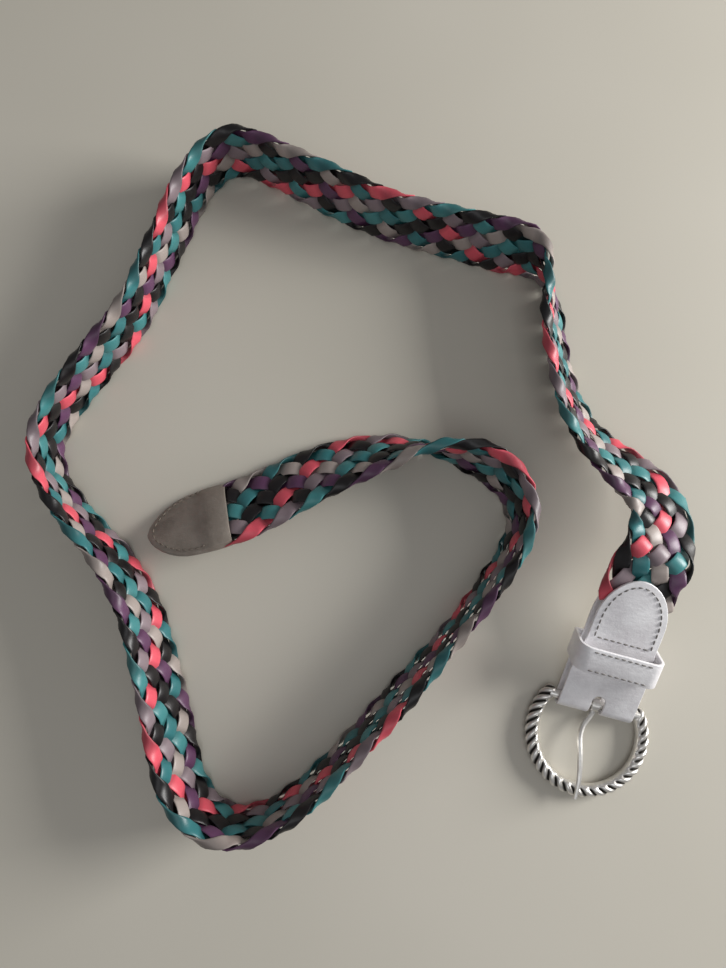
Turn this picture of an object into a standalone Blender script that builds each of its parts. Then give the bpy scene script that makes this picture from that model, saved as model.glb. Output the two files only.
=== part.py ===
"""A plaited belt with a rope-edged buckle, lying on its edge in an open loop.

Six pieces: the plait, the leather billet folded round the buckle's bar, the keeper loop,
the leather tab on the free end, the buckle frame and its prong.
Units are metres, +Z is up, and the belt lies on the plane z = 0 with the origin under
the middle of the space that it takes.
"""
import math

import bmesh
import bpy
import numpy as np
from mathutils import Euler, Matrix, Vector

# The plait
STRAP_WIDTH = 0.0320
PLAIT_THICK = 0.0048
PITCH = 0.0150
SCALLOP = 0.0012
RELIEF = 0.0004
CELL_POINTS = 4

# The room that the lying belt takes
SPREAD_X = 0.2820
SPREAD_Y = 0.2980

# Leather
LEATHER = 0.0014
SEAT_GAP = 0.0003
BILLET_WIDTH = 0.0332
TONGUE_WIDTH = 0.0298
BILLET_LENGTH = 0.0623
TONGUE_LENGTH = 0.0313
TONGUE_STRAIGHT = 0.0100
PLAIT_IN_BILLET = 0.0480
SLOT_WIDTH = 0.0058
SLOT_END = 0.0062

# The keeper
KEEPER_LENGTH = 0.0115
KEEPER_ROOM = 0.0062
KEEPER_AT = 0.0253
KEEPER_CORNER = 0.0042

# The free end's tab
TAB_LENGTH = 0.0385
TAB_WIDTH = 0.0318
PLAIT_IN_TAB = 0.0085
TAB_TIP_THICK = 0.0032

# The buckle
BAR_RADIUS = 0.0019
RIM_WIDTH = 0.0064
RIM_HEIGHT = 0.0064
RIM_DROP = 0.0133
ARM_PLAY = 0.0004
ROPE_STEP = 0.0042
ROPE_DEPTH = 0.0009
ROPE_STRANDS = 3
PRONG_RADIUS = 0.0012
PRONG_WALL = 0.0009
PRONG_LOOP_WIDTH = 0.0032
PIVOT_PLAY = 0.0003

# How the buckle end lies
HEADING = math.radians(15.0)
RISE = math.radians(22.0)
BAR_X = 0.362 * SPREAD_X
BAR_Y = -0.2305 * SPREAD_Y

# Sizes that follow
LAYER_ROOM = PLAIT_THICK + 2 * SEAT_GAP
BILLET_HALF = LAYER_ROOM / 2 + LEATHER
BAR_Z = BILLET_HALF + 0.5 * SEAT_GAP
ARM_HALF = BILLET_WIDTH / 2 + ARM_PLAY + RIM_WIDTH / 2
RIM_RADIUS = math.hypot(ARM_HALF, RIM_DROP)

# Where the plait's middle line runs, from the tongue to the tab.
# x, y: shares of SPREAD_X and SPREAD_Y from the middle of the loop
# lift: height of the middle line above a strap that stands on the plane, as a share of STRAP_WIDTH
# roll: degrees, 0 with its front face up, 90 on its edge, 180 with its back face up
ROUTE = [
    # x, y, lift, roll
    (0.4305, -0.0134, 0.870, 6.0),
    (0.4415, 0.0168, 0.700, 14.0),
    (0.4450, 0.0503, 0.545, 24.0),
    (0.4330, 0.0800, 0.390, 33.0),
    (0.4050, 0.1100, 0.255, 41.0),
    (0.3740, 0.1400, 0.150, 48.0),
    (0.3470, 0.1720, 0.080, 53.0),
    (0.3245, 0.2190, 0.030, 57.0),
    (0.3120, 0.2680, 0.000, 60.0),
    (0.3035, 0.3150, 0.000, 61.0),
    (0.3005, 0.3590, 0.000, 64.0),
    (0.2965, 0.3960, 0.000, 74.0),
    (0.2800, 0.4290, 0.000, 92.0),
    (0.2540, 0.4470, 0.000, 108.0),
    (0.2180, 0.4560, 0.000, 112.0),
    (0.1680, 0.4680, 0.000, 109.0),
    (0.0850, 0.4880, 0.000, 106.0),
    (0.0372, 0.5020, 0.000, 105.0),
    (-0.0273, 0.5290, 0.000, 106.0),
    (-0.0716, 0.5500, 0.000, 105.0),
    (-0.1227, 0.5735, 0.000, 102.0),
    (-0.1667, 0.5930, 0.000, 101.0),
    (-0.2030, 0.6020, 0.000, 100.0),
    (-0.2350, 0.5900, 0.000, 98.0),
    (-0.2610, 0.5640, 0.000, 97.0),
    (-0.2872, 0.5200, 0.000, 98.0),
    (-0.3067, 0.4730, 0.000, 97.0),
    (-0.3298, 0.4245, 0.000, 96.0),
    (-0.3475, 0.3800, 0.000, 96.0),
    (-0.3759, 0.3310, 0.000, 97.0),
    (-0.4096, 0.2885, 0.000, 98.0),
    (-0.4433, 0.2450, 0.000, 97.0),
    (-0.4740, 0.2020, 0.000, 95.0),
    (-0.4925, 0.1580, 0.000, 93.0),
    (-0.4870, 0.1140, 0.000, 93.0),
    (-0.4600, 0.0690, 0.000, 97.0),
    (-0.4273, 0.0300, 0.000, 100.0),
    (-0.3936, -0.0050, 0.000, 103.0),
    (-0.3635, -0.0470, 0.000, 105.0),
    (-0.3387, -0.0940, 0.000, 107.0),
    (-0.3202, -0.1510, 0.000, 109.0),
    (-0.2980, -0.2310, 0.000, 112.0),
    (-0.2855, -0.2850, 0.000, 113.0),
    (-0.2670, -0.3390, 0.000, 110.0),
    (-0.2310, -0.3790, 0.000, 104.0),
    (-0.1880, -0.3910, 0.000, 100.0),
    (-0.1454, -0.3820, 0.000, 99.0),
    (-0.0957, -0.3540, 0.000, 100.0),
    (-0.0461, -0.3120, 0.000, 100.0),
    (-0.0046, -0.2718, 0.000, 100.0),
    (0.0450, -0.2215, 0.000, 101.0),
    (0.0851, -0.1795, 0.000, 99.0),
    (0.1390, -0.1208, 0.000, 96.0),
    (0.1709, -0.0839, 0.000, 97.0),
    (0.1996, -0.0470, 0.000, 98.0),
    (0.2300, -0.0030, 0.000, 98.0),
    (0.2450, 0.0400, 0.000, 100.0),
    (0.2345, 0.0860, 0.000, 105.0),
    (0.1990, 0.1210, 0.000, 110.0),
    (0.1525, 0.1393, 0.000, 101.0),
    (0.0922, 0.1483, 0.000, 78.0),
    (0.0390, 0.1410, 0.000, 58.0),
    (-0.0177, 0.1285, 0.000, 46.0),
    (-0.0745, 0.1090, 0.000, 38.0),
    (-0.1277, 0.0849, 0.000, 33.0),
    (-0.1667, 0.0671, 0.000, 29.0),
    (-0.2057, 0.0523, 0.000, 27.0),
]
# Where the tab's far end points, beyond the last station, and how it lies there
TAB_HEADING = math.radians(254.0)
TAB_DIP = math.radians(5.5)
TAB_ROLL = math.radians(26.0)

# The tab's outline and body along its length, from the plait to the tip
# along: share of TAB_LENGTH, half: share of TAB_WIDTH / 2, body: 1 over the plait, 0 at the tip
TAB_SECTIONS = [
    # along, half, body
    (0.000, 0.960, 0.94),
    (0.040, 0.985, 1.00),
    (0.200, 1.000, 1.00),
    (0.270, 1.000, 0.86),
    (0.350, 0.995, 0.34),
    (0.430, 0.985, 0.12),
    (0.550, 0.945, 0.05),
    (0.660, 0.860, 0.03),
    (0.760, 0.735, 0.02),
    (0.850, 0.575, 0.01),
    (0.920, 0.405, 0.00),
    (0.970, 0.245, 0.00),
    (1.000, 0.060, -0.25),
]

# The prong's middle line, as it leaves the bar.
# out: share of the way to the rim's outer side, side: share of RIM_WIDTH to the left,
# climb: share of the height at which it lies over the rim
PRONG_PATH = [
    # out, side, climb
    (0.066, 0.00, 0.00),
    (0.105, 0.03, 0.02),
    (0.160, 0.20, 0.16),
    (0.250, 0.50, 0.42),
    (0.370, 0.58, 0.70),
    (0.540, 0.34, 0.92),
    (0.740, 0.09, 1.00),
    (0.880, 0.01, 1.02),
    (1.000, 0.00, 0.94),
]


def clear_scene():
    for item in list(bpy.data.objects):
        bpy.data.objects.remove(item, do_unlink=True)


def new_collection(name):
    group = bpy.data.collections.new(name)
    bpy.context.scene.collection.children.link(group)
    return group


def new_material(name, color, roughness, metallic):
    material = bpy.data.materials.new(name)
    material.use_nodes = True
    shader = material.node_tree.nodes["Principled BSDF"]
    shader.inputs["Base Color"].default_value = (*color, 1.0)
    shader.inputs["Roughness"].default_value = roughness
    shader.inputs["Metallic"].default_value = metallic
    return material


def add_mesh(bm, name, group, material=None):
    bmesh.ops.recalc_face_normals(bm, faces=bm.faces[:])
    mesh = bpy.data.meshes.new(name)
    bm.to_mesh(mesh)
    bm.free()
    item = bpy.data.objects.new(name, mesh)
    group.objects.link(item)
    if material:
        mesh.materials.append(material)
    return item


def loft(rings):
    """A skin through rings of points, with flat ends."""
    bm = bmesh.new()
    rows = [[bm.verts.new(p) for p in ring] for ring in rings]
    count = len(rows[0])
    for low, high in zip(rows[:-1], rows[1:]):
        for i in range(count):
            j = (i + 1) % count
            bm.faces.new((low[i], low[j], high[j], high[i]))
    bm.faces.new(rows[0][::-1])
    bm.faces.new(rows[-1])
    return bm


def cut(item, cutter, operation="DIFFERENCE"):
    cutter.hide_render = True
    cutter.display_type = "WIRE"
    modifier = item.modifiers.new(cutter.name, "BOOLEAN")
    modifier.operation = operation
    modifier.solver = "EXACT"
    modifier.object = cutter


def smooth(item, angle):
    item.data.shade_smooth()
    item.data.set_sharp_from_angle(angle=math.radians(angle))


# Buckle axes: the bar runs along the buckle's x, its loop hangs toward the buckle's -y
BAR_CENTRE = Vector((BAR_X, BAR_Y, BAR_Z))
BUCKLE_TURN = Euler((0.0, 0.0, -HEADING))
BILLET_TURN = (Matrix.Rotation(-HEADING, 3, "Z") @ Matrix.Rotation(RISE, 3, "X")).to_euler()
STRAP_AWAY = BILLET_TURN.to_matrix() @ Vector((0.0, 1.0, 0.0))


def tab_axes():
    """The straight run into the tab points this way."""
    level = Vector((math.sin(TAB_HEADING), math.cos(TAB_HEADING), 0.0))
    return level * math.cos(TAB_DIP) - Vector((0.0, 0.0, math.sin(TAB_DIP)))


def strap_frame(away, roll):
    """Across (floor edge to top edge) and front directions of a strap that runs along away."""
    right = away.cross(Vector((0.0, 0.0, 1.0))).normalized()
    up = right.cross(away).normalized()
    across = -right * math.cos(roll) + up * math.sin(roll)
    front = right * math.sin(roll) + up * math.cos(roll)
    return across, front


def standing_height(roll):
    return STRAP_WIDTH / 2 * math.sin(roll) + PLAIT_THICK / 2 * abs(math.cos(roll))


def route_stations():
    """Points and rolls that the plait's middle line passes, billet first."""
    stations = []
    start = BILLET_LENGTH - PLAIT_IN_BILLET
    for share in (0.0, 0.25, 0.5, 0.75, 1.0):
        along = start + PLAIT_IN_BILLET * share
        stations.append((BAR_CENTRE + STRAP_AWAY * along, 0.0))
    for x, y, lift, roll in ROUTE:
        angle = math.radians(roll)
        height = standing_height(angle) + lift * STRAP_WIDTH
        stations.append((Vector((x * SPREAD_X, y * SPREAD_Y, height)), angle))
    last = stations[-1][0]
    away = tab_axes()
    stations.append((last + away * 0.5 * PLAIT_IN_TAB, TAB_ROLL))
    stations.append((last + away * (PLAIT_IN_TAB + LEATHER), TAB_ROLL))
    stations.append((last + away * (PLAIT_IN_TAB + LEATHER) * 2, TAB_ROLL))
    return stations


def hermite(p0, p1, p2, p3, t):
    """Point between p1 and p2 on a smooth curve through all four."""
    d01 = max(distance_apart(p1, p0), 1e-9) ** 0.5
    d12 = max(distance_apart(p2, p1), 1e-9) ** 0.5
    d23 = max(distance_apart(p3, p2), 1e-9) ** 0.5
    m1 = (p2 - p1 + d12 * ((p1 - p0) / d01 - (p2 - p0) / (d01 + d12)))
    m2 = (p2 - p1 + d12 * ((p3 - p2) / d23 - (p3 - p1) / (d12 + d23)))
    a = 2 * (p1 - p2) + m1 + m2
    b = -3 * (p1 - p2) - 2 * m1 - m2
    return a * t ** 3 + b * t ** 2 + m1 * t + p1


def distance_apart(a, b):
    return float(np.linalg.norm((a - b)[:3]))


def route_curve(steps=16):
    """The middle line as many close points: x, y, z, roll and length so far."""
    rows = np.array([[*p, r * 0.02] for p, r in route_stations()])
    rows = np.vstack([2 * rows[0] - rows[1], rows, 2 * rows[-1] - rows[-2]])
    points = []
    for i in range(1, len(rows) - 2):
        for k in range(steps):
            points.append(hermite(rows[i - 1], rows[i], rows[i + 1], rows[i + 2], k / steps))
    points.append(rows[-2])
    points = np.array(points)
    points[:, 3] /= 0.02
    gone = np.concatenate([[0.0], np.cumsum(np.linalg.norm(np.diff(points[:, :3], axis=0), axis=1))])
    return points, gone


POINTS, GONE = route_curve()
PLAIT_END = float(GONE[-1]) - (PLAIT_IN_TAB + LEATHER)


def on_route(length):
    """Centre, along, across and front directions at a length along the middle line."""
    here = np.array([np.interp(length, GONE, POINTS[:, k]) for k in range(4)])
    step = 0.0015
    low, high = max(length - step, 0.0), min(length + step, float(GONE[-1]))
    a = np.array([np.interp(low, GONE, POINTS[:, k]) for k in range(3)])
    b = np.array([np.interp(high, GONE, POINTS[:, k]) for k in range(3)])
    away = Vector(b - a).normalized()
    across, front = strap_frame(away, float(here[3]))
    return Vector(here[:3]), away, across, front


# The plait: strands that cross over and under, and fold back at both edges once a pitch
def plait_section(length, taper):
    """Ring of points round the plait: a flat lens with scalloped ends and low cushions."""
    centre, _, across, front = on_route(length)
    cell = 2 * math.pi * length / PITCH
    half = (STRAP_WIDTH / 2 - SCALLOP * (0.5 - 0.5 * math.cos(cell))) * taper
    thick = PLAIT_THICK / 2 - RELIEF
    ring = []
    for side in (1, -1):
        for share in (0.93, 0.5, 0.0, -0.5, -0.93):
            cushion = RELIEF * math.cos(cell) * math.cos(2 * math.pi * share)
            edge = 1.0 if abs(share) < 0.9 else 0.62
            height = thick * edge + cushion * (1.0 if edge == 1.0 else 0.4)
            ring.append(centre + across * half * share * side + front * height * side)
        ring.append(centre - across * half * side)
    return ring


def build_plait(group, material):
    count = int(round(PLAIT_END / PITCH * CELL_POINTS))
    rings = []
    for i in range(count + 1):
        length = PLAIT_END * i / count
        into_tab = (length - (PLAIT_END - PLAIT_IN_TAB - LEATHER)) / (PLAIT_IN_TAB + LEATHER)
        taper = 1.0 - 0.15 * min(max(into_tab, 0.0) * 2.5, 1.0)
        rings.append(plait_section(length, taper))
    bm = loft(rings)
    item = add_mesh(bm, "plait", group, material)
    smooth(item, 60)
    return item


# The billet: one leather strip folded round the bar, its ends cut to a pointed arch
def billet_outline():
    """Half of the outline that both layers are cut to, from the fold to the tongue's point."""
    base = BILLET_LENGTH - TONGUE_LENGTH
    fold = -BILLET_HALF * 1.5
    rows = [
        (BILLET_WIDTH / 2, fold),
        (BILLET_WIDTH / 2, base * 0.62),
        (TONGUE_WIDTH / 2, base),
        (TONGUE_WIDTH / 2, base + TONGUE_STRAIGHT),
    ]
    arch = TONGUE_LENGTH - TONGUE_STRAIGHT
    for i in range(1, 9):
        turn = math.pi / 2 * i / 9
        half = TONGUE_WIDTH / 2 * math.cos(turn) ** 1.05
        rows.append((half, base + TONGUE_STRAIGHT + arch * math.sin(turn) ** 0.94))
    rows.append((0.0, BILLET_LENGTH))
    return rows


def prism(name, outline, low, high, group):
    """A straight-sided block with the outline's shape, used to trim."""
    bm = bmesh.new()
    ring = [bm.verts.new((x, y, low)) for x, y in outline]
    face = bm.faces.new(ring)
    made = bmesh.ops.extrude_face_region(bm, geom=[face])
    lifted = [v for v in made["geom"] if isinstance(v, bmesh.types.BMVert)]
    bmesh.ops.translate(bm, verts=lifted, vec=(0.0, 0.0, high - low))
    return add_mesh(bm, name, group)


def build_billet(group, cutters, material):
    bm = bmesh.new()
    radius = LAYER_ROOM / 2
    line = [(BILLET_LENGTH * 1.02, radius), (BILLET_LENGTH * 0.5, radius)]
    for i in range(13):
        turn = math.pi / 2 + math.pi * i / 12
        line.append((radius * math.cos(turn), radius * math.sin(turn)))
    line += [(BILLET_LENGTH * 0.5, -radius), (BILLET_LENGTH * 1.02, -radius)]
    wide = BILLET_WIDTH * 0.6
    left = [bm.verts.new((-wide, y, z)) for y, z in line]
    edges = [bm.edges.new(pair) for pair in zip(left[:-1], left[1:])]
    made = bmesh.ops.extrude_edge_only(bm, edges=edges)
    moved = [v for v in made["geom"] if isinstance(v, bmesh.types.BMVert)]
    bmesh.ops.translate(bm, verts=moved, vec=(2 * wide, 0.0, 0.0))
    mesh = bpy.data.meshes.new("billet")
    bm.to_mesh(mesh)
    bm.free()
    item = bpy.data.objects.new("billet", mesh)
    group.objects.link(item)
    mesh.materials.append(material)
    middle = mesh.polygons[len(mesh.polygons) // 2]
    outward = -1.0 if middle.normal.y > 0 else 1.0
    shell = item.modifiers.new("leather", "SOLIDIFY")
    shell.thickness = LEATHER
    shell.offset = outward
    shell.use_even_offset = True
    half = billet_outline()
    outline = half + [(-x, y) for x, y in half[:-1][::-1]]
    trim = prism("billet_trim", outline, -2 * BILLET_HALF, 2 * BILLET_HALF, cutters)
    cut(item, trim, "INTERSECT")
    slot = prism("slot_cut", [
        (-SLOT_WIDTH / 2, -2 * BILLET_HALF), (SLOT_WIDTH / 2, -2 * BILLET_HALF),
        *[(SLOT_WIDTH / 2 * math.cos(math.pi * i / 8),
           SLOT_END - SLOT_WIDTH / 2 + SLOT_WIDTH / 2 * math.sin(math.pi * i / 8)) for i in range(9)],
    ], -2 * BILLET_HALF, 2 * BILLET_HALF, cutters)
    cut(item, slot)
    for piece in (item, trim, slot):
        piece.location = BAR_CENTRE
        piece.rotation_euler = BILLET_TURN
    return item


# The keeper: a stitched leather loop round the billet, with room for the strap's free end
def rounded_box(half_x, low, high, top_corner, low_corner, turns=5):
    points = []
    centres = [
        (half_x - top_corner, high - top_corner, 0.0, top_corner),
        (-half_x + top_corner, high - top_corner, 0.5, top_corner),
        (-half_x + low_corner, low + low_corner, 1.0, low_corner),
        (half_x - low_corner, low + low_corner, 1.5, low_corner),
    ]
    for x, z, start, corner in centres:
        for i in range(turns + 1):
            turn = math.pi * (start + 0.5 * i / turns)
            points.append((x + corner * math.cos(turn), z + corner * math.sin(turn)))
    return points


def build_keeper(group, material):
    bm = bmesh.new()
    inside = rounded_box(
        BILLET_WIDTH / 2 + SEAT_GAP,
        -BILLET_HALF - SEAT_GAP,
        BILLET_HALF + KEEPER_ROOM,
        KEEPER_CORNER,
        SEAT_GAP,
    )
    near = [bm.verts.new((x, -KEEPER_LENGTH / 2, z)) for x, z in inside]
    edges = [bm.edges.new((near[i], near[(i + 1) % len(near)])) for i in range(len(near))]
    made = bmesh.ops.extrude_edge_only(bm, edges=edges)
    moved = [v for v in made["geom"] if isinstance(v, bmesh.types.BMVert)]
    bmesh.ops.translate(bm, verts=moved, vec=(0.0, KEEPER_LENGTH, 0.0))
    bmesh.ops.recalc_face_normals(bm, faces=bm.faces[:])
    mesh = bpy.data.meshes.new("keeper")
    bm.to_mesh(mesh)
    bm.free()
    item = bpy.data.objects.new("keeper", mesh)
    group.objects.link(item)
    mesh.materials.append(material)
    top = max(mesh.polygons, key=lambda p: p.center.z)
    shell = item.modifiers.new("leather", "SOLIDIFY")
    shell.thickness = LEATHER
    shell.offset = 1.0 if top.normal.z > 0 else -1.0
    shell.use_even_offset = True
    item.location = BAR_CENTRE + STRAP_AWAY * KEEPER_AT
    item.rotation_euler = BILLET_TURN
    smooth(item, 40)
    return item


# The tab: two leather faces joined round their edge, with the plait's end sewn between them
def tab_ring(at, away, across, front, half, thick):
    ring = []
    for side in (1, -1):
        for share, edge in ((0.94, 0.55), (0.55, 1.0), (0.0, 1.0), (-0.55, 1.0), (-0.94, 0.55)):
            ring.append(at + across * half * share * side + front * thick * edge * side)
        ring.append(at - across * half * side)
    return ring


def build_tab(group, cutters, material):
    start = PLAIT_END - PLAIT_IN_TAB
    centre, _, _, _ = on_route(start)
    away = tab_axes()
    across, front = strap_frame(away, TAB_ROLL)
    full = PLAIT_THICK / 2 + SEAT_GAP + LEATHER
    thin = TAB_TIP_THICK / 2
    rings = []
    for along, half, body in TAB_SECTIONS:
        thick = thin + (full - thin) * body
        at = centre + away * TAB_LENGTH * along
        rings.append(tab_ring(at, away, across, front, TAB_WIDTH / 2 * half, thick))
    bm = loft(rings)
    item = add_mesh(bm, "tab", group, material)
    pocket_half = STRAP_WIDTH / 2 * 0.85 + SEAT_GAP + 0.0002
    room = PLAIT_THICK / 2 + SEAT_GAP
    wide = STRAP_WIDTH / 2 + SEAT_GAP
    pocket = [
        tab_ring(centre + away * -0.004, away, across, front, wide, room),
        tab_ring(centre + away * (PLAIT_IN_TAB + SEAT_GAP + 0.0002), away, across, front, pocket_half, room),
    ]
    cutter = add_mesh(loft(pocket), "pocket_cut", cutters)
    cut(item, cutter)
    smooth(item, 50)
    return item


# The buckle frame: a horseshoe with a rope-twisted outer face, a smooth inner lip and a bar
def rim_point(angle):
    """Centre and outward direction on the horseshoe, 0 at its far side."""
    outward = Vector((math.sin(angle), -math.cos(angle), 0.0))
    return Vector((0.0, -RIM_DROP, 0.0)) + outward * RIM_RADIUS, outward


def rim_ring(angle, run, size):
    centre, outward = rim_point(angle)
    up = Vector((0.0, 0.0, 1.0))
    twist = 2 * math.pi * run / (ROPE_STEP * ROPE_STRANDS)
    ring = []
    for i in range(14):
        turn = 2 * math.pi * i / 14
        lobe = 0.5 + 0.5 * math.cos(ROPE_STRANDS * turn + ROPE_STRANDS * twist)
        facing = math.cos(turn)
        shown = min(max((facing + 0.75) / 0.5, 0.0), 1.0)
        inset = ROPE_DEPTH * (1.0 - lobe) * shown
        wide = (RIM_WIDTH / 2 - inset) * size
        tall = (RIM_HEIGHT / 2 - inset) * size
        flat = 0.86 if facing < -0.6 else 1.0
        ring.append(centre + outward * wide * facing * flat + up * tall * math.sin(turn))
    return ring


def build_frame(group, cutters, material):
    reach = math.pi - math.atan2(ARM_HALF, RIM_DROP)
    past = RIM_WIDTH / 2 / RIM_RADIUS
    steps = 78
    angles = [-reach + 2 * reach * i / steps for i in range(steps + 1)]
    ends = [(0.45, 0.89), (0.8, 0.6), (0.98, 0.2)]
    stations = [(-reach - past * far, size) for far, size in ends[::-1]]
    stations += [(angle, 1.0) for angle in angles]
    stations += [(reach + past * far, size) for far, size in ends]
    rings = [rim_ring(angle, RIM_RADIUS * angle, size) for angle, size in stations]
    item = add_mesh(loft(rings), "buckle_frame", group, material)
    item.data.transform(Matrix.Translation((0.0, 0.0, -BAR_LIFT)))
    bpy.ops.mesh.primitive_cylinder_add(vertices=16, radius=BAR_RADIUS, depth=2 * ARM_HALF)
    bar = bpy.context.active_object
    bar.name = "bar_part"
    bar.data.transform(Matrix.Rotation(math.pi / 2, 4, "Y"))
    for old in list(bar.users_collection):
        old.objects.unlink(bar)
    cutters.objects.link(bar)
    cut(item, bar, "UNION")
    return item, [bar]


def build_prong(group, cutters, material):
    loop_out = BAR_RADIUS + PIVOT_PLAY + PRONG_WALL
    rim_out = RIM_DROP + RIM_RADIUS + RIM_WIDTH / 2
    top = RIM_HEIGHT / 2 - BAR_LIFT + PRONG_RADIUS + SEAT_GAP
    line = bpy.data.curves.new("prong_line", "CURVE")
    line.dimensions = "3D"
    line.bevel_depth = PRONG_RADIUS
    line.bevel_resolution = 2
    line.use_fill_caps = True
    spline = line.splines.new("POLY")
    rows = np.array([[-s * RIM_WIDTH, -o * rim_out, c * top] for o, s, c in PRONG_PATH])
    smooth_rows = []
    padded = np.vstack([2 * rows[0] - rows[1], rows, 2 * rows[-1] - rows[-2]])
    for i in range(1, len(padded) - 2):
        for k in range(3):
            smooth_rows.append(hermite(padded[i - 1], padded[i], padded[i + 1], padded[i + 2], k / 3))
    smooth_rows.append(rows[-1])
    spline.points.add(len(smooth_rows) - 1)
    for i, row in enumerate(smooth_rows):
        share = i / (len(smooth_rows) - 1)
        spline.points[i].co = (*row, 1.0)
        spline.points[i].radius = 1.0 - 0.28 * max(share - 0.72, 0.0) / 0.28
    wire = bpy.data.objects.new("prong_wire", line)
    group.objects.link(wire)
    depsgraph = bpy.context.evaluated_depsgraph_get()
    mesh = bpy.data.meshes.new_from_object(wire.evaluated_get(depsgraph))
    bm = bmesh.new()
    bm.from_mesh(mesh)
    bmesh.ops.remove_doubles(bm, verts=bm.verts[:], dist=0.000001)
    bmesh.ops.recalc_face_normals(bm, faces=bm.faces[:])
    bm.to_mesh(mesh)
    bm.free()
    item = bpy.data.objects.new("prong", mesh)
    item.matrix_world = wire.matrix_world
    group.objects.link(item)
    bpy.data.objects.remove(wire)
    mesh.materials.clear()
    mesh.materials.append(material)
    bpy.ops.mesh.primitive_cylinder_add(vertices=24, radius=loop_out, depth=PRONG_LOOP_WIDTH)
    loop = bpy.context.active_object
    loop.name = "loop_part"
    bpy.ops.mesh.primitive_cylinder_add(
        vertices=24, radius=BAR_RADIUS + PIVOT_PLAY, depth=PRONG_LOOP_WIDTH * 2)
    hole = bpy.context.active_object
    hole.name = "loop_hole"
    for part, operation in ((loop, "UNION"), (hole, "DIFFERENCE")):
        part.data.transform(Matrix.Rotation(math.pi / 2, 4, "Y"))
        for old in list(part.users_collection):
            old.objects.unlink(part)
        cutters.objects.link(part)
        cut(item, part, operation)
    smooth(item, 50)
    return item, [loop, hole]


# How far the bar lies above the middle of the rim, which rests on the plane
BAR_LIFT = BAR_Z - RIM_HEIGHT / 2


def lay_down(pieces, group):
    """Hold everything by one empty, and set the origin on the plane under the belt's middle."""
    holder = bpy.data.objects.new("laid_belt", None)
    group.objects.link(holder)
    for item in list(bpy.data.objects):
        if item is not holder and item.parent is None:
            item.parent = holder
    bpy.context.view_layer.update()
    depsgraph = bpy.context.evaluated_depsgraph_get()
    corners = []
    for piece in pieces:
        shown = piece.evaluated_get(depsgraph)
        mesh = shown.to_mesh()
        spots = np.empty(len(mesh.vertices) * 3)
        mesh.vertices.foreach_get("co", spots)
        turn = np.array(shown.matrix_world)
        corners.append(spots.reshape(-1, 3) @ turn[:3, :3].T + turn[:3, 3])
        shown.to_mesh_clear()
    corners = np.concatenate(corners)
    low, high = corners.min(axis=0), corners.max(axis=0)
    holder.location = (-(low[0] + high[0]) / 2, -(low[1] + high[1]) / 2, -low[2])


def main():
    clear_scene()
    belt = new_collection("plaited_belt")
    cutters = new_collection("cutters")
    weave = new_material("plaited_leather", (0.16, 0.13, 0.16), 0.42, 0.0)
    silver = new_material("silver_leather", (0.55, 0.53, 0.54), 0.40, 0.25)
    metal = new_material("antique_silver", (0.62, 0.61, 0.60), 0.28, 1.0)
    strap = [
        build_plait(belt, weave),
        build_billet(belt, cutters, silver),
        build_keeper(belt, silver),
        build_tab(belt, cutters, silver),
    ]
    pivot = bpy.data.objects.new("bar_axis", None)
    belt.objects.link(pivot)
    pivot.location = BAR_CENTRE
    pivot.rotation_euler = BUCKLE_TURN
    frame, frame_parts = build_frame(belt, cutters, metal)
    prong, prong_parts = build_prong(belt, cutters, metal)
    for item in (frame, prong, *frame_parts, *prong_parts):
        item.parent = pivot
    lay_down([*strap, frame, prong], belt)


main()
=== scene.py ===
import math

import bpy
import numpy as np
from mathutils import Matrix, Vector


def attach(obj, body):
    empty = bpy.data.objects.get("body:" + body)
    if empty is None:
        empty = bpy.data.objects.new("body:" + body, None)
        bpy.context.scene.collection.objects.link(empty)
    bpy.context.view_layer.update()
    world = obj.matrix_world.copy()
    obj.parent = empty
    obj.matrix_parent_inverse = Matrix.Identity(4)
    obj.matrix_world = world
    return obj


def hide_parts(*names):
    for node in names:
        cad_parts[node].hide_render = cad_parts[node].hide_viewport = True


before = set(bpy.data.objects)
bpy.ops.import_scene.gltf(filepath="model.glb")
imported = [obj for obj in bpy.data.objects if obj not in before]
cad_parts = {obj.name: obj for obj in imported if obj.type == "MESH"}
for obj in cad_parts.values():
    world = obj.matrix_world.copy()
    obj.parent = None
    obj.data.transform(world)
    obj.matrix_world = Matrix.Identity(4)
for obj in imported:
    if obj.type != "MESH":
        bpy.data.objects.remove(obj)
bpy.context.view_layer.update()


# The view: a phone held over the belt, looking straight down and a little towards its far end.
# Its wide lens opens the loop outwards, so the inner faces of the standing strap show.
EYE = (0.000651, -0.031311, 0.33292)
TILT = math.radians(5.0)
SENSOR = 36.0
FOCAL_SHARE = 728.0 / 968.0
bpy.ops.object.select_all(action="DESELECT")
bpy.ops.object.camera_add(location=EYE, rotation=(TILT, 0.0, 0.0))
camera = bpy.context.object
camera.name = "view_camera"
camera.data.lens = FOCAL_SHARE * SENSOR
camera.data.sensor_width = SENSOR
camera.data.clip_start = 0.01
bpy.context.scene.camera = camera


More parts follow.
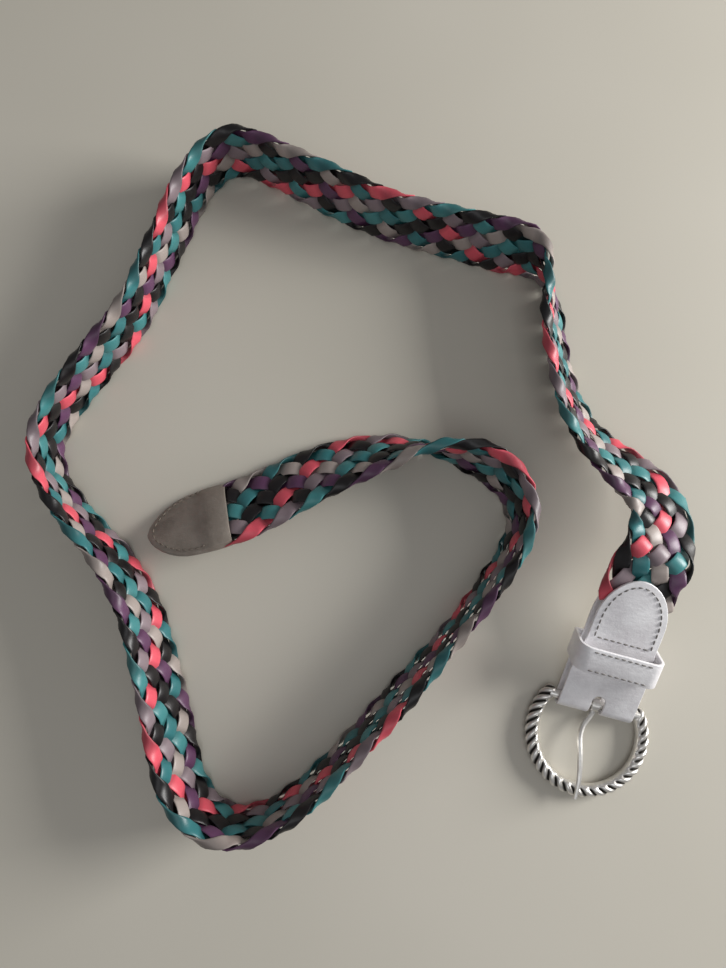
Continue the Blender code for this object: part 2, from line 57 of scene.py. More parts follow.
# The floor: a plain pale laminate table top, matt and very slightly mottled. Its own colour is
# even, and the light alone makes it brighter on the right.
class Paint:
    """A material's node tree, whose sockets are wrapped as Values to do maths on them."""

    def __init__(self, name):
        self.material = bpy.data.materials.new(name)
        self.material.use_nodes = True
        self.tree = self.material.node_tree
        self.shader = self.tree.nodes["Principled BSDF"]

    def node(self, kind, settings=None, **inputs):
        made = self.tree.nodes.new(kind)
        for key, value in (settings or {}).items():
            setattr(made, key, value)
        for key, value in inputs.items():
            self.plug(made.inputs[key.replace("_", " ")], value)
        return made

    def plug(self, socket, value):
        if isinstance(value, Value):
            self.tree.links.new(value.socket, socket)
        elif isinstance(value, bpy.types.NodeSocket):
            self.tree.links.new(value, socket)
        elif isinstance(value, tuple) and len(value) == 3 and socket.type == "RGBA":
            socket.default_value = (*value, 1.0)
        else:
            socket.default_value = value

    def place(self):
        return self.node("ShaderNodeTexCoord").outputs["Object"]

    def attribute(self, name):
        made = self.node("ShaderNodeAttribute", {"attribute_name": name})
        return Value(self, made.outputs["Fac"])

    def noise(self, scale, detail=2.0, roughness=0.5, stretch=None):
        where = self.place()
        if stretch:
            where = self.node("ShaderNodeMapping", Vector=where, Scale=stretch).outputs[0]
        made = self.node(
            "ShaderNodeTexNoise", Vector=where, Scale=scale, Detail=detail, Roughness=roughness)
        return Value(self, made.outputs["Fac"])

    def mix(self, share, a, b):
        made = self.node("ShaderNodeMix", {"data_type": "RGBA"})
        self.plug(made.inputs["Factor"], share)
        self.plug(made.inputs["A"], a)
        self.plug(made.inputs["B"], b)
        return made.outputs["Result"]

    def bump(self, height, strength, distance):
        made = self.node("ShaderNodeBump", Height=height, Strength=strength, Distance=distance)
        self.plug(self.shader.inputs["Normal"], made.outputs["Normal"])

    def set(self, **inputs):
        for key, value in inputs.items():
            self.plug(self.shader.inputs[key.replace("_", " ")], value)


class Value:
    """A number that varies over the surface."""

    def __init__(self, paint, socket):
        self.paint = paint
        self.socket = socket

    def maths(self, operation, *values):
        made = self.paint.node("ShaderNodeMath", {"operation": operation})
        for i, value in enumerate(values):
            self.paint.plug(made.inputs[i], value)
        return Value(self.paint, made.outputs[0])

    def __add__(self, other):
        return self.maths("ADD", self, other)

    def __radd__(self, other):
        return self.maths("ADD", other, self)

    def __mul__(self, other):
        return self.maths("MULTIPLY", self, other)

    def between(self, low, high):
        """0 up to low, 1 from high on, and even in between."""
        made = self.paint.node("ShaderNodeMapRange", {"clamp": True}, Value=self)
        made.inputs["From Min"].default_value = low
        made.inputs["From Max"].default_value = high
        return Value(self.paint, made.outputs["Result"])


def linear(red, green, blue):
    """A colour as a screen shows it, 0 to 255, turned into light."""
    shares = (red / 255, green / 255, blue / 255)
    return tuple(c / 12.92 if c <= 0.04045 else ((c + 0.055) / 1.055) ** 2.4 for c in shares)


FLOOR_SIZE = 4.0
bpy.ops.mesh.primitive_grid_add(x_subdivisions=8, y_subdivisions=8, size=FLOOR_SIZE)
floor = bpy.context.object
floor.name = "table_top"
paint = Paint("pale_table_top")
wide = paint.noise(3.0, 3.0, 0.55)
fine = paint.noise(900.0, 2.0, 0.6)
tone = paint.mix(wide.between(0.35, 0.65), linear(196, 191, 178), linear(203, 198, 186))
paint.set(Base_Color=tone, Roughness=0.55 + fine * 0.08)
paint.bump(fine, 0.15, 0.0001)
floor.data.materials.append(paint.material)


# The light: a soft low window on the right, a weak bounce from the ceiling, and the room's
# even grey. The window throws the soft shadows that lie left of the standing strap.
world = bpy.data.worlds.new("grey_room")
world.use_nodes = True
world.node_tree.nodes["Background"].inputs["Color"].default_value = (0.93, 0.92, 0.93, 1.0)
world.node_tree.nodes["Background"].inputs["Strength"].default_value = 0.25
bpy.context.scene.world = world
bpy.context.scene.view_settings.view_transform = "Standard"
for name, place, size, power, color in (
    ("window", (1.10, 0.22, 0.40), 0.50, 19.0, (1.0, 0.99, 0.97)),
    ("ceiling", (0.05, -0.35, 1.10), 0.70, 1.8, (0.94, 0.97, 1.0)),
):
    bpy.ops.object.light_add(type="AREA", location=place)
    lamp = bpy.context.object
    lamp.name = name
    lamp.data.shape = "SQUARE"
    lamp.data.size = size
    lamp.data.energy = power
    lamp.data.color = color
    lamp.rotation_euler = Vector(place).to_track_quat("Z", "Y").to_euler()


# The plait: eight flat strips of glossy coated leather, about 7 mm wide, plaited flat over
# one and under one. Each folds back at both edges of the strap. Both ends are sewn in, one
# between the billet's two layers and one in the tab.
STRAP_WIDTH = 0.0320
PLAIT_THICK = 0.0048
PITCH = 0.0150
SPREAD_X = 0.2820
SPREAD_Y = 0.2980
LAID_AT = Vector((0.000651, -0.031311, 0.000073))
BAR = Vector((0.362 * SPREAD_X, -0.2305 * SPREAD_Y, 0.00425))
HEADING = math.radians(15.0)
RISE = math.radians(22.0)
STRAP_AWAY = Vector((
    math.sin(HEADING) * math.cos(RISE), math.cos(HEADING) * math.cos(RISE), math.sin(RISE)))
BILLET_LENGTH = 0.0623
PLAIT_IN_BILLET = 0.0480
TAB_LENGTH = 0.0385
PLAIT_IN_TAB = 0.0085
LEATHER = 0.0014
TAB_HEADING = math.radians(254.0)
TAB_DIP = math.radians(5.5)
TAB_ROLL = math.radians(26.0)
# Where the strap's middle line runs: shares of the loop's spread, the lift over a standing
# strap as a share of its width, and the roll, 0 with the front face up and 90 on its edge
ROUTE = [
    # x, y, lift, roll
    (0.4305, -0.0134, 0.870, 6), (0.4415, 0.0168, 0.700, 14), (0.4450, 0.0503, 0.545, 24),
    (0.4330, 0.0800, 0.390, 33), (0.4050, 0.1100, 0.255, 41), (0.3740, 0.1400, 0.150, 48),
    (0.3470, 0.1720, 0.080, 53), (0.3245, 0.2190, 0.030, 57), (0.3120, 0.2680, 0, 60),
    (0.3035, 0.3150, 0, 61), (0.3005, 0.3590, 0, 64), (0.2965, 0.3960, 0, 74),
    (0.2800, 0.4290, 0, 92), (0.2540, 0.4470, 0, 108), (0.2180, 0.4560, 0, 112),
    (0.1680, 0.4680, 0, 109), (0.0850, 0.4880, 0, 106), (0.0372, 0.5020, 0, 105),
    (-0.0273, 0.5290, 0, 106), (-0.0716, 0.5500, 0, 105), (-0.1227, 0.5735, 0, 102),
    (-0.1667, 0.5930, 0, 101), (-0.2030, 0.6020, 0, 100), (-0.2350, 0.5900, 0, 98),
    (-0.2610, 0.5640, 0, 97), (-0.2872, 0.5200, 0, 98), (-0.3067, 0.4730, 0, 97),
    (-0.3298, 0.4245, 0, 96), (-0.3475, 0.3800, 0, 96), (-0.3759, 0.3310, 0, 97),
    (-0.4096, 0.2885, 0, 98), (-0.4433, 0.2450, 0, 97), (-0.4740, 0.2020, 0, 95),
    (-0.4925, 0.1580, 0, 93), (-0.4870, 0.1140, 0, 93), (-0.4600, 0.0690, 0, 97),
    (-0.4273, 0.0300, 0, 100), (-0.3936, -0.0050, 0, 103), (-0.3635, -0.0470, 0, 105),
    (-0.3387, -0.0940, 0, 107), (-0.3202, -0.1510, 0, 109), (-0.2980, -0.2310, 0, 112),
    (-0.2855, -0.2850, 0, 113), (-0.2670, -0.3390, 0, 110), (-0.2310, -0.3790, 0, 104),
    (-0.1880, -0.3910, 0, 100), (-0.1454, -0.3820, 0, 99), (-0.0957, -0.3540, 0, 100),
    (-0.0461, -0.3120, 0, 100), (-0.0046, -0.2718, 0, 100), (0.0450, -0.2215, 0, 101),
    (0.0851, -0.1795, 0, 99), (0.1390, -0.1208, 0, 96), (0.1709, -0.0839, 0, 97),
    (0.1996, -0.0470, 0, 98), (0.2300, -0.0030, 0, 98), (0.2450, 0.0400, 0, 100),
    (0.2345, 0.0860, 0, 105), (0.1990, 0.1210, 0, 110), (0.1525, 0.1393, 0, 101),
    (0.0922, 0.1483, 0, 78), (0.0390, 0.1410, 0, 58), (-0.0177, 0.1285, 0, 46),
    (-0.0745, 0.1090, 0, 38), (-0.1277, 0.0849, 0, 33), (-0.1667, 0.0671, 0, 29),
    (-0.2057, 0.0523, 0, 27),
]
# Folds passed along one edge, which the hand-pulled plait packs unevenly: these are added to
# the even count, length / PITCH
PACKING = [
    # folds of even length, folds added
    (0, 1.0), (13, 1.0), (18, 1.5), (26, 1.45), (34, 1.15), (40, 0.7), (47, 0.5), (52, -0.2),
    (60, -0.55), (65, -1.0), (71, -1.15),
]
# colour as seen, folds by which the strip follows the first one, and shine
STRIPS = [
    ("coral", (228, 88, 104), 0, 0.34),
    ("black_a", (8, 4, 8), 1, 0.32),
    ("teal_a", (50, 118, 122), 2, 0.32),
    ("grey_a", (168, 156, 150), 3, 0.36),
    ("plum", (94, 56, 90), 4, 0.34),
    ("black_b", (12, 5, 9), 5, 0.32),
    ("teal_b", (64, 134, 136), 6, 0.32),
    ("grey_b", (138, 122, 128), 7, 0.36),
]
STRIP_WIDTH = 0.0068
STRIP_THICK = 0.0013
WEAVE_HEIGHT = 0.00135
EDGE_INSET = 0.0011
RINGS_A_FOLD = 10
RING_POINTS = 12
WEAVE_SIDE = 1
LOBES = 8.0
EDGE_STEEPNESS = 0.965
FOLD_ROUNDNESS = 0.75
ROLL_WEIGHT = 0.02
LOOK_AROUND = 0.0015
MERGE_WITHIN = 0.000002
STARTS_AT = 0.036
END_INSET = 0.004
FOLD_NARROWING = 0.36
FOLD_THICKENING = 0.15
TAB_SQUEEZE = 0.14
FLAT_ACROSS = 0.55
FLAT_THROUGH = 0.7
EDGE_THINNING = 0.35


def strap_frame(away, roll):
    """Across, from floor edge to top edge, and front directions of a strap along away."""
    right = away.cross(Vector((0.0, 0.0, 1.0))).normalized()
    up = right.cross(away).normalized()
    across = -right * math.cos(roll) + up * math.sin(roll)
    front = right * math.sin(roll) + up * math.cos(roll)
    return across, front


def route_points(steps=16):
    """Points along the middle line, the length gone at each, and the tab's direction."""
    stations = []
    start = BILLET_LENGTH - PLAIT_IN_BILLET
    for share in (0.0, 0.25, 0.5, 0.75, 1.0):
        stations.append((*(BAR + STRAP_AWAY * (start + PLAIT_IN_BILLET * share)), 0.0))
    for x, y, lift, roll in ROUTE:
        turn = math.radians(roll)
        standing = STRAP_WIDTH / 2 * math.sin(turn) + PLAIT_THICK / 2 * abs(math.cos(turn))
        stations.append((x * SPREAD_X, y * SPREAD_Y, standing + lift * STRAP_WIDTH, turn))
    level = Vector((math.sin(TAB_HEADING), math.cos(TAB_HEADING), 0.0))
    away = level * math.cos(TAB_DIP) - Vector((0.0, 0.0, math.sin(TAB_DIP)))
    last = Vector(stations[-1][:3])
    for reach in (0.5 * PLAIT_IN_TAB, PLAIT_IN_TAB + LEATHER, (PLAIT_IN_TAB + LEATHER) * 2):
        stations.append((*(last + away * reach), TAB_ROLL))
    rows = np.array(stations)
    rows[:, 3] *= ROLL_WEIGHT
    rows = np.vstack([2 * rows[0] - rows[1], rows, 2 * rows[-1] - rows[-2]])
    points = []
    for i in range(1, len(rows) - 2):
        p0, p1, p2, p3 = rows[i - 1:i + 3]
        d01, d12, d23 = (
            max(np.linalg.norm((b - a)[:3]), 1e-9) ** 0.5
            for a, b in ((p0, p1), (p1, p2), (p2, p3)))
        m1 = p2 - p1 + d12 * ((p1 - p0) / d01 - (p2 - p0) / (d01 + d12))
        m2 = p2 - p1 + d12 * ((p3 - p2) / d23 - (p3 - p1) / (d12 + d23))
        for k in range(steps):
            t = k / steps
            points.append(
                (2 * (p1 - p2) + m1 + m2) * t ** 3
                + (-3 * (p1 - p2) - 2 * m1 - m2) * t ** 2
                + m1 * t + p1)
    points.append(rows[-2])
    points = np.array(points)
    points[:, 3] /= ROLL_WEIGHT
    steps_gone = np.linalg.norm(np.diff(points[:, :3], axis=0), axis=1)
    return points, np.concatenate([[0.0], np.cumsum(steps_gone)]), away


POINTS, GONE, TAB_AWAY = route_points()
PLAIT_END = float(GONE[-1]) - (PLAIT_IN_TAB + LEATHER)


def on_route(length):
    """Centre, along, across and front directions at a length along the middle line."""
    def spot(at):
        return np.array([np.interp(at, GONE, POINTS[:, k]) for k in range(4)])

    here = spot(length)
    low, high = max(length - LOOK_AROUND, 0.0), min(length + LOOK_AROUND, float(GONE[-1]))
    away = Vector((spot(high) - spot(low))[:3]).normalized()
    across, front = strap_frame(away, float(here[3]))
    return Vector(here[:3]) + LAID_AT, away, across, front


def folds_at(length):
    """Folds passed along one edge up to a length."""
    even = length / PITCH
    packed_at, added = zip(*PACKING)
    return even + float(np.interp(even, packed_at, added))


def weave_place(turn):
    """Share of the half width, height share and lean of a strip, turn folds past the edge."""
    turn = turn % LOBES
    slant = EDGE_STEEPNESS * math.sin(math.pi / 4 * (turn - 2.0))
    side = math.asin(slant) / math.asin(EDGE_STEEPNESS)
    if 0.5 <= turn <= 3.5:
        height, lean = -math.cos(2 * math.pi * turn), 0.0
    elif 3.5 < turn < 4.5:
        height, lean = math.cos(math.pi * (turn - 3.5)), math.pi * (turn - 3.5)
    elif 4.5 <= turn <= 7.5:
        height, lean = math.cos(2 * math.pi * turn), math.pi
    else:
        past = turn - 7.5 if turn > 7.0 else turn + 0.5
        height, lean = -math.cos(math.pi * past), math.pi * (1.0 + past)
    height = math.copysign(abs(height) ** FOLD_ROUNDNESS, height)
    return side, height, lean


def strip_centre(length, lag):
    """Where a strip's own middle line is, the strap's directions there and its weave."""
    centre, away, across, front = on_route(length)
    side, height, lean = weave_place(folds_at(length) - lag)
    reach = STRAP_WIDTH / 2 - EDGE_INSET
    place = centre + across * side * reach + front * height * WEAVE_HEIGHT * WEAVE_SIDE
    return place, away, across, front, side, height, lean


def strip_taper(length):
    """Strips are squeezed where they are sewn into the tab."""
    into_tab = (length - (PLAIT_END - PLAIT_IN_TAB)) / PLAIT_IN_TAB
    return 1.0 - TAB_SQUEEZE * min(max(into_tab * 2.0, 0.0), 1.0)


def mend_mesh(merge=False, cap=False):
    """Merge the active mesh's seam, close its open ends and turn its faces outwards."""
    bpy.ops.object.mode_set(mode="EDIT")
    bpy.ops.mesh.select_all(action="SELECT")
    if merge:
        bpy.ops.mesh.remove_doubles(threshold=MERGE_WITHIN)
    if cap:
        bpy.ops.mesh.select_all(action="DESELECT")
        bpy.ops.mesh.select_non_manifold()
        bpy.ops.mesh.edge_face_add()
    bpy.ops.mesh.select_all(action="SELECT")
    bpy.ops.mesh.normals_make_consistent(inside=False)
    bpy.ops.object.mode_set(mode="OBJECT")
    bpy.ops.object.shade_smooth()


strips = []
for name, color, lag, rough in STRIPS:
    count = int((PLAIT_END - END_INSET - STARTS_AT) / PITCH * RINGS_A_FOLD)
    bpy.ops.object.select_all(action="DESELECT")
    bpy.ops.mesh.primitive_grid_add(x_subdivisions=count, y_subdivisions=RING_POINTS, size=1.0)
    strip = bpy.context.object
    strip.name = "strip_" + name
    mesh = strip.data
    flat = np.empty(len(mesh.vertices) * 3)
    mesh.vertices.foreach_get("co", flat)
    flat = flat.reshape(-1, 3)
    along = np.rint((flat[:, 0] + 0.5) * count).astype(int)
    around = np.rint((flat[:, 1] + 0.5) * RING_POINTS).astype(int)
    shaped = np.empty_like(flat)
    rim = np.zeros(len(flat))
    deep = np.zeros(len(flat))
    rings = []
    step = (PLAIT_END - END_INSET - STARTS_AT) / count
    places = [strip_centre(STARTS_AT + step * i, lag) for i in range(count + 1)]
    for i, (place, away, across, front, side, height, lean) in enumerate(places):
        before = places[max(i - 1, 0)][0]
        after = places[min(i + 1, count)][0]
        run = (after - before).normalized()
        normal = front * math.cos(lean) * WEAVE_SIDE + across * math.sin(lean)
        normal = (normal - run * normal.dot(run)).normalized()
        wide = run.cross(normal)
        turned = abs(math.sin(lean))
        taper = strip_taper(STARTS_AT + step * i)
        half = STRIP_WIDTH / 2 * (1.0 - FOLD_NARROWING * turned ** 1.5) * taper
        thick = STRIP_THICK / 2 * (1.0 + FOLD_THICKENING * turned)
        rings.append((place, wide * half, normal * thick, height * (1.0 - turned)))
    for k in range(len(flat)):
        place, wide, normal, height = rings[along[k]]
        angle = 2 * math.pi * (around[k] % RING_POINTS) / RING_POINTS
        reach = math.copysign(abs(math.cos(angle)) ** FLAT_ACROSS, math.cos(angle))
        swell = math.copysign(abs(math.sin(angle)) ** FLAT_THROUGH, math.sin(angle))
        shaped[k] = place + wide * reach + normal * swell * (1.0 - EDGE_THINNING * reach * reach)
        rim[k] = abs(reach) ** 3
        # How far the strip sinks into the weave; this sets where the painted shade lies in its
        # crevices.
        deep[k] = 1.0 - abs(height)
    mesh.vertices.foreach_set("co", shaped.ravel())
    for label, values in (("rim", rim), ("deep", deep)):
        mesh.attributes.new(label, "FLOAT", "POINT").data.foreach_set("value", values)
    mesh.update()
    mend_mesh(merge=True, cap=True)
    paint = Paint("coated_leather_" + name)
    grain = paint.noise(1400.0, 3.0, 0.6)
    crease = paint.noise(320.0, 3.0, 0.65)
    patch = paint.noise(70.0, 2.0, 0.5)
    shown = linear(*color)
    # Painted shade: a darker copy of the strip's colour, laid on where the strip dives under its
    # neighbours.
    painted_crevice_shade = tuple(c * 0.42 for c in shown)
    worn = tuple(min(c * 1.12 + 0.035, 1.0) for c in shown)
    base = paint.mix(patch.between(0.3, 0.7), shown, tuple(c * 0.86 for c in shown))
    base = paint.mix(paint.attribute("rim") * 0.5 * crease.between(0.35, 0.7), base, worn)
    base = paint.mix(paint.attribute("deep").between(0.25, 1.0) * 0.9, base, painted_crevice_shade)
    paint.set(Base_Color=base, Roughness=rough + crease * 0.16, Specular_IOR_Level=0.5)
    paint.bump(grain * 0.4 + crease, 0.22, 0.0003)
    mesh.materials.append(paint.material)
    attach(strip, "belt")
    strips.append(strip)
for strip in strips:
    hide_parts("plait")


# The silver-faced leather of the next three pieces: thin foil-coated leather with a fine
# grain, rubbed duller in patches. Each piece takes the shape of its node, softened at the edges.
EDGE_SEGMENTS = 3
SHARP_ABOVE = math.radians(35.0)
SMOOTH_BELOW = math.radians(40.0)


def copied_node(node, name, width):
    """A node's own shape as a new piece, its facets merged and its edges rounded over."""
    bpy.ops.object.select_all(action="DESELECT")
    piece = bpy.data.objects.new(name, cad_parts[node].data.copy())
    bpy.context.scene.collection.objects.link(piece)
    piece.select_set(True)
    bpy.context.view_layer.objects.active = piece
    piece.data.materials.clear()
    bpy.ops.object.mode_set(mode="EDIT")
    bpy.ops.mesh.select_all(action="SELECT")
    bpy.ops.mesh.remove_doubles(threshold=0.00001)
    bpy.ops.mesh.dissolve_limited(angle_limit=math.radians(2.0))
    bpy.ops.object.mode_set(mode="OBJECT")
    soften = piece.modifiers.new("rounded_edges", "BEVEL")
    soften.width = width
    soften.segments = EDGE_SEGMENTS
    soften.limit_method = "ANGLE"
    soften.angle_limit = SHARP_ABOVE
    bpy.ops.object.modifier_apply(modifier="rounded_edges")
    bpy.ops.object.shade_smooth_by_angle(angle=SMOOTH_BELOW)
    return piece


def silver_leather(name, tint=(252, 251, 253), dull=(226, 223, 226), metallic=0.22, rough=0.30):
    """Foil-coated leather of a bright and a rubbed colour."""
    paint = Paint(name)
    grain = paint.noise(2200.0, 3.0, 0.6)
    pebble = paint.noise(700.0, 2.0, 0.55)
    patch = paint.noise(95.0, 4.0, 0.62)
    crease = paint.noise(160.0, 4.0, 0.7, stretch=(1.0, 2.4, 1.0))
    base = paint.mix(patch.between(0.32, 0.72), linear(*tint), linear(*dull))
    paint.set(Base_Color=base, Roughness=rough + patch * 0.16 + pebble * 0.06, Metallic=metallic)
    paint.bump(grain * 0.25 + pebble * 0.5 + crease * 1.3, 0.30, 0.0006)
    return paint.material


# The billet: a strip of the silver leather, cut by a die and folded round the buckle's bar,
# with the plait's end sewn between its layers. Its tongue lies on top of the plait.
billet = copied_node("billet", "billet_leather", 0.00035)
billet.data.materials.append(silver_leather("billet_silver"))
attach(billet, "belt")
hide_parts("billet")


# The keeper: a narrow band of the same leather, folded in a loop round the billet and sewn
# along both edges. It stands off the billet, which leaves room for the strap's end.
keeper = copied_node("keeper", "keeper_leather", 0.0003)
keeper.data.materials.append(silver_leather("keeper_silver", rough=0.32))
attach(keeper, "belt")
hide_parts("keeper")


# The tab: two cut pieces of the silver leather, sewn together round the plait's free end. It
# leans away from the window, and its colours are painted darker and browner as painted shade.
tab = copied_node("tab", "tab_leather", 0.0003)
# Painted shade: the same silver leather given darker, browner colours where it faces away from the
# window.
tab.data.materials.append(
    silver_leather("tab_silver_painted_shade", tint=(158, 148, 138), dull=(134, 124, 114), metallic=0.30, rough=0.40))
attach(tab, "belt")
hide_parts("tab")


# The stitching: waxed thread, 3 mm a stitch, grey on the billet and keeper and taupe on the
# tab. A row runs inside the tongue's edge with one across its foot, one along each long edge
# of the keeper, and one round each face of the tab.
WIDTHWAYS = Vector((math.cos(HEADING), -math.sin(HEADING), 0.0))
BILLET_UP = WIDTHWAYS.cross(STRAP_AWAY).normalized()
BILLET_TOP = 0.0041
TONGUE_FOOT = 0.0310
TONGUE_STRAIGHT = 0.0100
TONGUE_HALF = 0.0149
TONGUE_INSET = 0.0027
KEEPER_AT = 0.0253
KEEPER_HALF_LENGTH = 0.00575
KEEPER_TOP = 0.0117
KEEPER_FLAT = 0.0128
KEEPER_INSET = 0.0014
TAB_HALF = 0.0159
TAB_INSET = 0.0021
TAB_THICKNESS = [
    # share of the tab's length, half width share, half thickness
    (0.300, 0.998, 0.0031), (0.350, 0.995, 0.00246), (0.430, 0.985, 0.0019),
    (0.550, 0.945, 0.00173), (0.660, 0.860, 0.00168), (0.760, 0.735, 0.00165),
    (0.850, 0.575, 0.00163), (0.920, 0.405, 0.0016), (0.960, 0.255, 0.0016),
]
STITCH_LENGTH = 0.0022
STITCH_STEP = 0.0030
STITCH_RADIUS = 0.00036
STITCH_LIFT = 0.35
STITCH_BLUNTNESS = 0.8
STITCH_LOOK_AROUND = 0.001


def on_billet(side, along, height):
    """A point in the billet's own directions, measured from the bar."""
    return BAR + LAID_AT + WIDTHWAYS * side + STRAP_AWAY * along + BILLET_UP * height


def stitch_row(name, path, up, body, material):
    """Half-sunk stitches of even length along a path of points, copied from one."""
    path = np.array([list(p) for p in path])
    gone = np.concatenate([[0.0], np.cumsum(np.linalg.norm(np.diff(path, axis=0), axis=1))])
    count = max(int(round(gone[-1] / STITCH_STEP)), 1)
    bpy.ops.object.select_all(action="DESELECT")
    bpy.ops.mesh.primitive_uv_sphere_add(segments=8, ring_count=6, radius=1.0)
    first = bpy.context.object
    first.name = name
    ball = np.empty(len(first.data.vertices) * 3)
    first.data.vertices.foreach_get("co", ball)
    ball = ball.reshape(-1, 3)
    made = []
    for i in range(count):
        at = gone[-1] * (i + 0.5) / count
        here, low, high = (
            Vector([np.interp(a, gone, path[:, k]) for k in range(3)])
            for a in (at, max(at - STITCH_LOOK_AROUND, 0.0), min(at + STITCH_LOOK_AROUND, gone[-1])))
        run = (high - low).normalized()
        over = (up - run * up.dot(run)).normalized()
        wide = run.cross(over)
        pull = np.sign(ball[:, 0]) * np.abs(ball[:, 0]) ** STITCH_BLUNTNESS
        spots = (
            np.outer(pull * STITCH_LENGTH / 2, run)
            + np.outer(ball[:, 1] * STITCH_RADIUS, wide)
            + np.outer(ball[:, 2] * STITCH_RADIUS, over)
            + np.array(here + over * STITCH_RADIUS * STITCH_LIFT))
        stitch = first if i == 0 else bpy.data.objects.new(name, first.data.copy())
        if i:
            bpy.context.scene.collection.objects.link(stitch)
        stitch.data.vertices.foreach_set("co", spots.ravel())
        stitch.data.update()
        made.append(stitch)
    bpy.ops.object.select_all(action="DESELECT")
    for stitch in made:
        stitch.select_set(True)
    bpy.context.view_layer.objects.active = first
    bpy.ops.object.join()
    mend_mesh()
    first.data.materials.append(material)
    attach(first, body)


def waxed_thread(name, shade, tint, rough):
    """Twisted thread of a shaded and a lit colour."""
    paint = Paint(name)
    twist = paint.noise(3200.0, 2.0, 0.5)
    base = paint.mix(twist, linear(*shade), linear(*tint))
    paint.set(Base_Color=base, Roughness=rough + twist * 0.1)
    paint.bump(twist, 0.3, 0.0002)
    return paint.material


thread = waxed_thread("waxed_thread", (92, 88, 86), (150, 146, 143), 0.55)
taupe_thread = waxed_thread("taupe_thread", (96, 86, 76), (132, 121, 110), 0.5)

half = TONGUE_HALF - TONGUE_INSET
straight = TONGUE_FOOT + TONGUE_STRAIGHT
arch = BILLET_LENGTH - straight - TONGUE_INSET
turns = [math.pi / 2 * i / 14 for i in range(14)]
arc = [(math.cos(t) ** 1.05, math.sin(t) ** 0.94) for t in turns]
outline = [(half * c, straight + arch * h) for c, h in arc]
outline = [(half, TONGUE_FOOT + 0.0020)] + outline + [(0.0, straight + arch)]
outline += [(-x, y) for x, y in outline[:-1][::-1]]
edge_row = [on_billet(x, y, BILLET_TOP) for x, y in outline]
stitch_row("tongue_stitches", edge_row, BILLET_UP, "belt", thread)
across = [on_billet(side * half, TONGUE_FOOT + 0.0022, BILLET_TOP) for side in (-0.93, 0.93)]
stitch_row("tongue_cross_stitches", across, BILLET_UP, "belt", thread)
for label, edge in (("near", -1), ("far", 1)):
    along = KEEPER_AT + edge * (KEEPER_HALF_LENGTH - KEEPER_INSET)
    row = [on_billet(side * KEEPER_FLAT, along, KEEPER_TOP) for side in (-1, 1)]
    stitch_row("keeper_" + label + "_stitches", row, BILLET_UP, "belt", thread)
tab_start = on_route(PLAIT_END - PLAIT_IN_TAB)[0]
tab_across, tab_front = strap_frame(TAB_AWAY, TAB_ROLL)
for label, face in (("front", 1), ("back", -1)):
    rows = []
    for share, wide, thick in TAB_THICKNESS:
        inset = TAB_INSET / max(TAB_HALF * wide, 0.004)
        spot = tab_start + TAB_AWAY * (TAB_LENGTH * share - TAB_INSET * 0.8 * (share - 0.3) / 0.66)
        rows.append((spot + tab_front * thick * face, tab_across * TAB_HALF * wide * (1.0 - inset)))
    path = [spot + side for spot, side in rows] + [spot - side for spot, side in rows[::-1]]
    stitch_row("tab_" + label + "_stitches", path, tab_front * face, "belt", taupe_thread)


# The buckle frame: cast zinc with a rope-twisted outer face and a smooth inner lip, plated
# antique silver. Its ridges are rubbed bright, and its grooves keep the dark finish.
LEVEL_AWAY = Vector((math.sin(HEADING), math.cos(HEADING), 0.0))
RIM_WIDTH = 0.0064
RIM_HEIGHT = 0.0064
RIM_DROP = 0.0133
ARM_HALF = 0.0202
RIM_RADIUS = math.hypot(ARM_HALF, RIM_DROP)
BAR_RADIUS = 0.0019
ROPE_STEP = 0.0042
ROPE_STRANDS = 3
GROOVE = 0.00135
LOBE_ROUNDNESS = 0.85
LIP_FROM = -0.6
LIP_THINNING = 0.86
END_ROUNDNESS = 2.4
RIM_STEPS = 460
RIM_POINTS = 42


def antique_silver(name, grooved):
    """Bright plate, with dark dirt where the groove attribute is high."""
    paint = Paint(name)
    scratch = paint.noise(1500.0, 3.0, 0.6)
    patch = paint.noise(260.0, 3.0, 0.6)
    base = paint.mix(patch.between(0.3, 0.75), linear(246, 244, 240), linear(214, 210, 204))
    rough = 0.22 + patch * 0.16 + scratch * 0.08
    if grooved:
        dirt = paint.attribute("groove").between(0.18, 0.72)
        base = paint.mix(dirt, base, linear(52, 49, 46))
        rough = rough + dirt * 0.3
    paint.set(Base_Color=base, Roughness=rough, Metallic=0.92)
    paint.bump(scratch * 0.5 + patch, 0.12, 0.0003)
    return paint.material


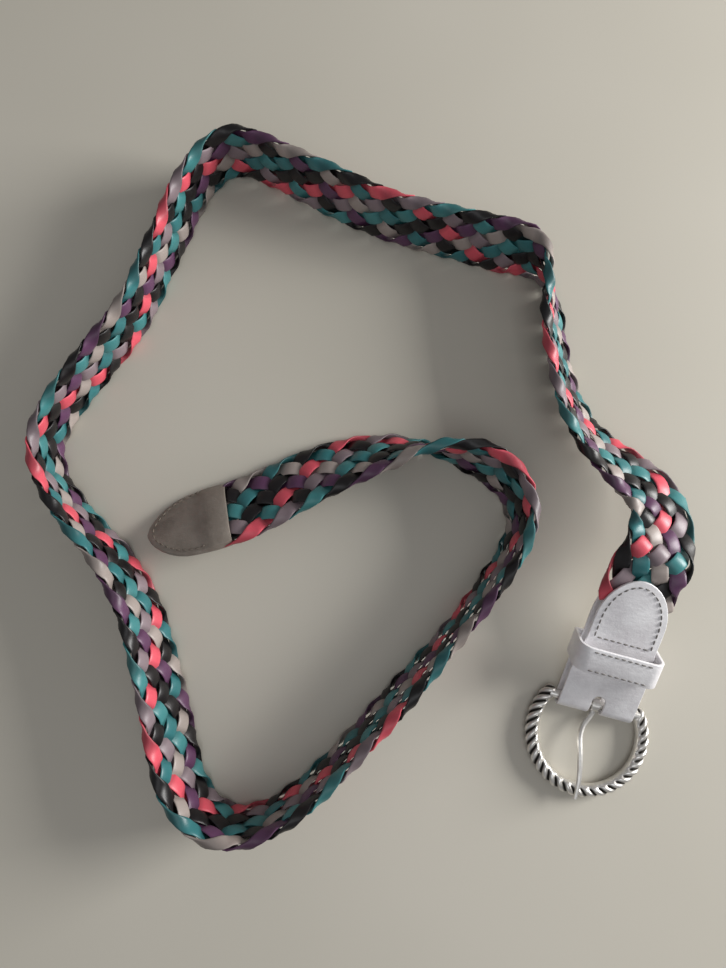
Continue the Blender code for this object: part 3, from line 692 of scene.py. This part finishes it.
bpy.ops.object.select_all(action="DESELECT")
bpy.ops.mesh.primitive_grid_add(x_subdivisions=RIM_STEPS, y_subdivisions=RIM_POINTS, size=1.0)
rim = bpy.context.object
rim.name = "rope_rim"
flat = np.empty(len(rim.data.vertices) * 3)
rim.data.vertices.foreach_get("co", flat)
flat = flat.reshape(-1, 3)
reach = math.pi - math.atan2(ARM_HALF, RIM_DROP)
past = RIM_WIDTH / 2 / RIM_RADIUS
shaped = np.empty_like(flat)
groove = np.zeros(len(flat))
for k, (x, y, _) in enumerate(flat):
    angle = 2 * x * (reach + past)
    turn = 2 * math.pi * (round((y + 0.5) * RIM_POINTS) % RIM_POINTS) / RIM_POINTS
    over = max(abs(angle) - reach, 0.0) / past
    size = math.sqrt(max(1.0 - over ** END_ROUNDNESS, 0.0))
    outward = WIDTHWAYS * math.sin(angle) - LEVEL_AWAY * math.cos(angle)
    middle = BAR + LAID_AT - LEVEL_AWAY * RIM_DROP + outward * RIM_RADIUS
    middle.z = LAID_AT.z + RIM_HEIGHT / 2
    twist = RIM_RADIUS * angle / ROPE_STEP * 2 * math.pi / ROPE_STRANDS
    lobe = abs(math.cos(0.5 * ROPE_STRANDS * (turn + twist))) ** LOBE_ROUNDNESS
    facing = math.cos(turn)
    shown = min(max((facing + 0.75) / 0.5, 0.0), 1.0)
    inset = GROOVE * (1.0 - lobe) * shown
    broad = (RIM_WIDTH / 2 - inset) * size * (LIP_THINNING if facing < LIP_FROM else 1.0)
    tall = (RIM_HEIGHT / 2 - inset) * size
    spot = middle + outward * broad * facing
    spot.z += tall * math.sin(turn)
    shaped[k] = spot
    groove[k] = (1.0 - lobe) * shown * 1.2
rim.data.vertices.foreach_set("co", shaped.ravel())
rim.data.attributes.new("groove", "FLOAT", "POINT").data.foreach_set("value", groove)
mend_mesh(merge=True)
bpy.ops.object.select_all(action="DESELECT")
bpy.ops.mesh.primitive_cylinder_add(vertices=32, radius=BAR_RADIUS, depth=2 * ARM_HALF)
bar = bpy.context.object
bpy.ops.object.shade_smooth_by_angle(angle=SMOOTH_BELOW)
bar.rotation_euler = WIDTHWAYS.to_track_quat("Z", "Y").to_euler()
bar.location = BAR + LAID_AT
bpy.ops.object.transform_apply(location=True, rotation=True, scale=True)
rim.select_set(True)
bpy.context.view_layer.objects.active = rim
bpy.ops.object.join()
rim.data.materials.append(antique_silver("antique_silver_rope", True))
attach(rim, "frame")
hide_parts("buckle_frame")


# The prong: a round cast pin with a loop round the bar, plated like the frame and bowed to
# the left where it leaves the slot. It rests on the far side of the rim.
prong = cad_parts["prong"]
prong.data.materials.clear()
prong.data.materials.append(antique_silver("antique_silver_prong", False))
for face in prong.data.polygons:
    face.use_smooth = True
